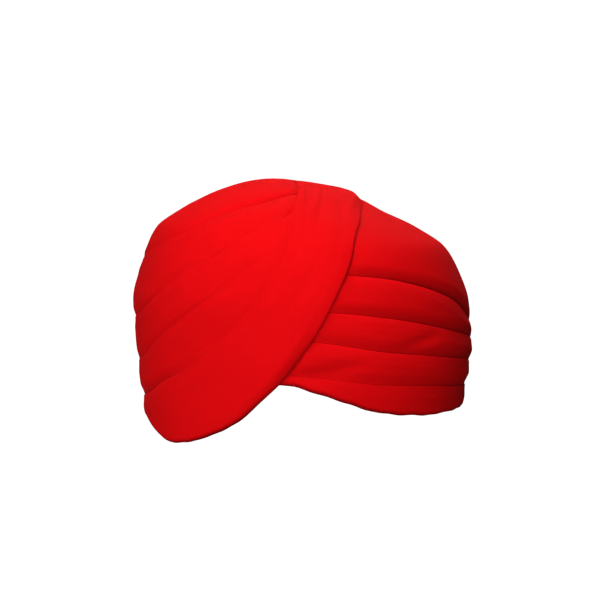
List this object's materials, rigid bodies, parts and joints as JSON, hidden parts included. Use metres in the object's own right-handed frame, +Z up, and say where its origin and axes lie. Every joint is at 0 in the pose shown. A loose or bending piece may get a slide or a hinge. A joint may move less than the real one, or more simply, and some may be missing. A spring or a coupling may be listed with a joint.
{
  "type": "pagri turban",
  "caption": "Wound red cotton head wrap: a domed crown, overlapping wraps that step down the sides, and a fan drawn up over the brow, open below for a head.",
  "frame": {"origin": "centre of the head opening at brow level, where the head holds it up", "axes": "+Z up, -Y towards the brow, +X to the right of someone facing the brow; the head comes in along +Z from below"},
  "size_m": [0.2419, 0.2692, 0.1814],
  "materials": {
    "crown_cotton": "matt plain-woven red cotton, soft sheen",
    "wrap_cotton": "matt plain-woven red cotton, folded edges",
    "last_wrap_cotton": "matt plain-woven red cotton, folded edges and a turned-under free edge"
  },
  "bodies": {
    "root": {"crown": "crown_cotton", "wrap_1": "wrap_cotton", "wrap_2": "wrap_cotton", "wrap_3": "wrap_cotton", "last_wrap": "last_wrap_cotton"}
  },
  "joints": []
}
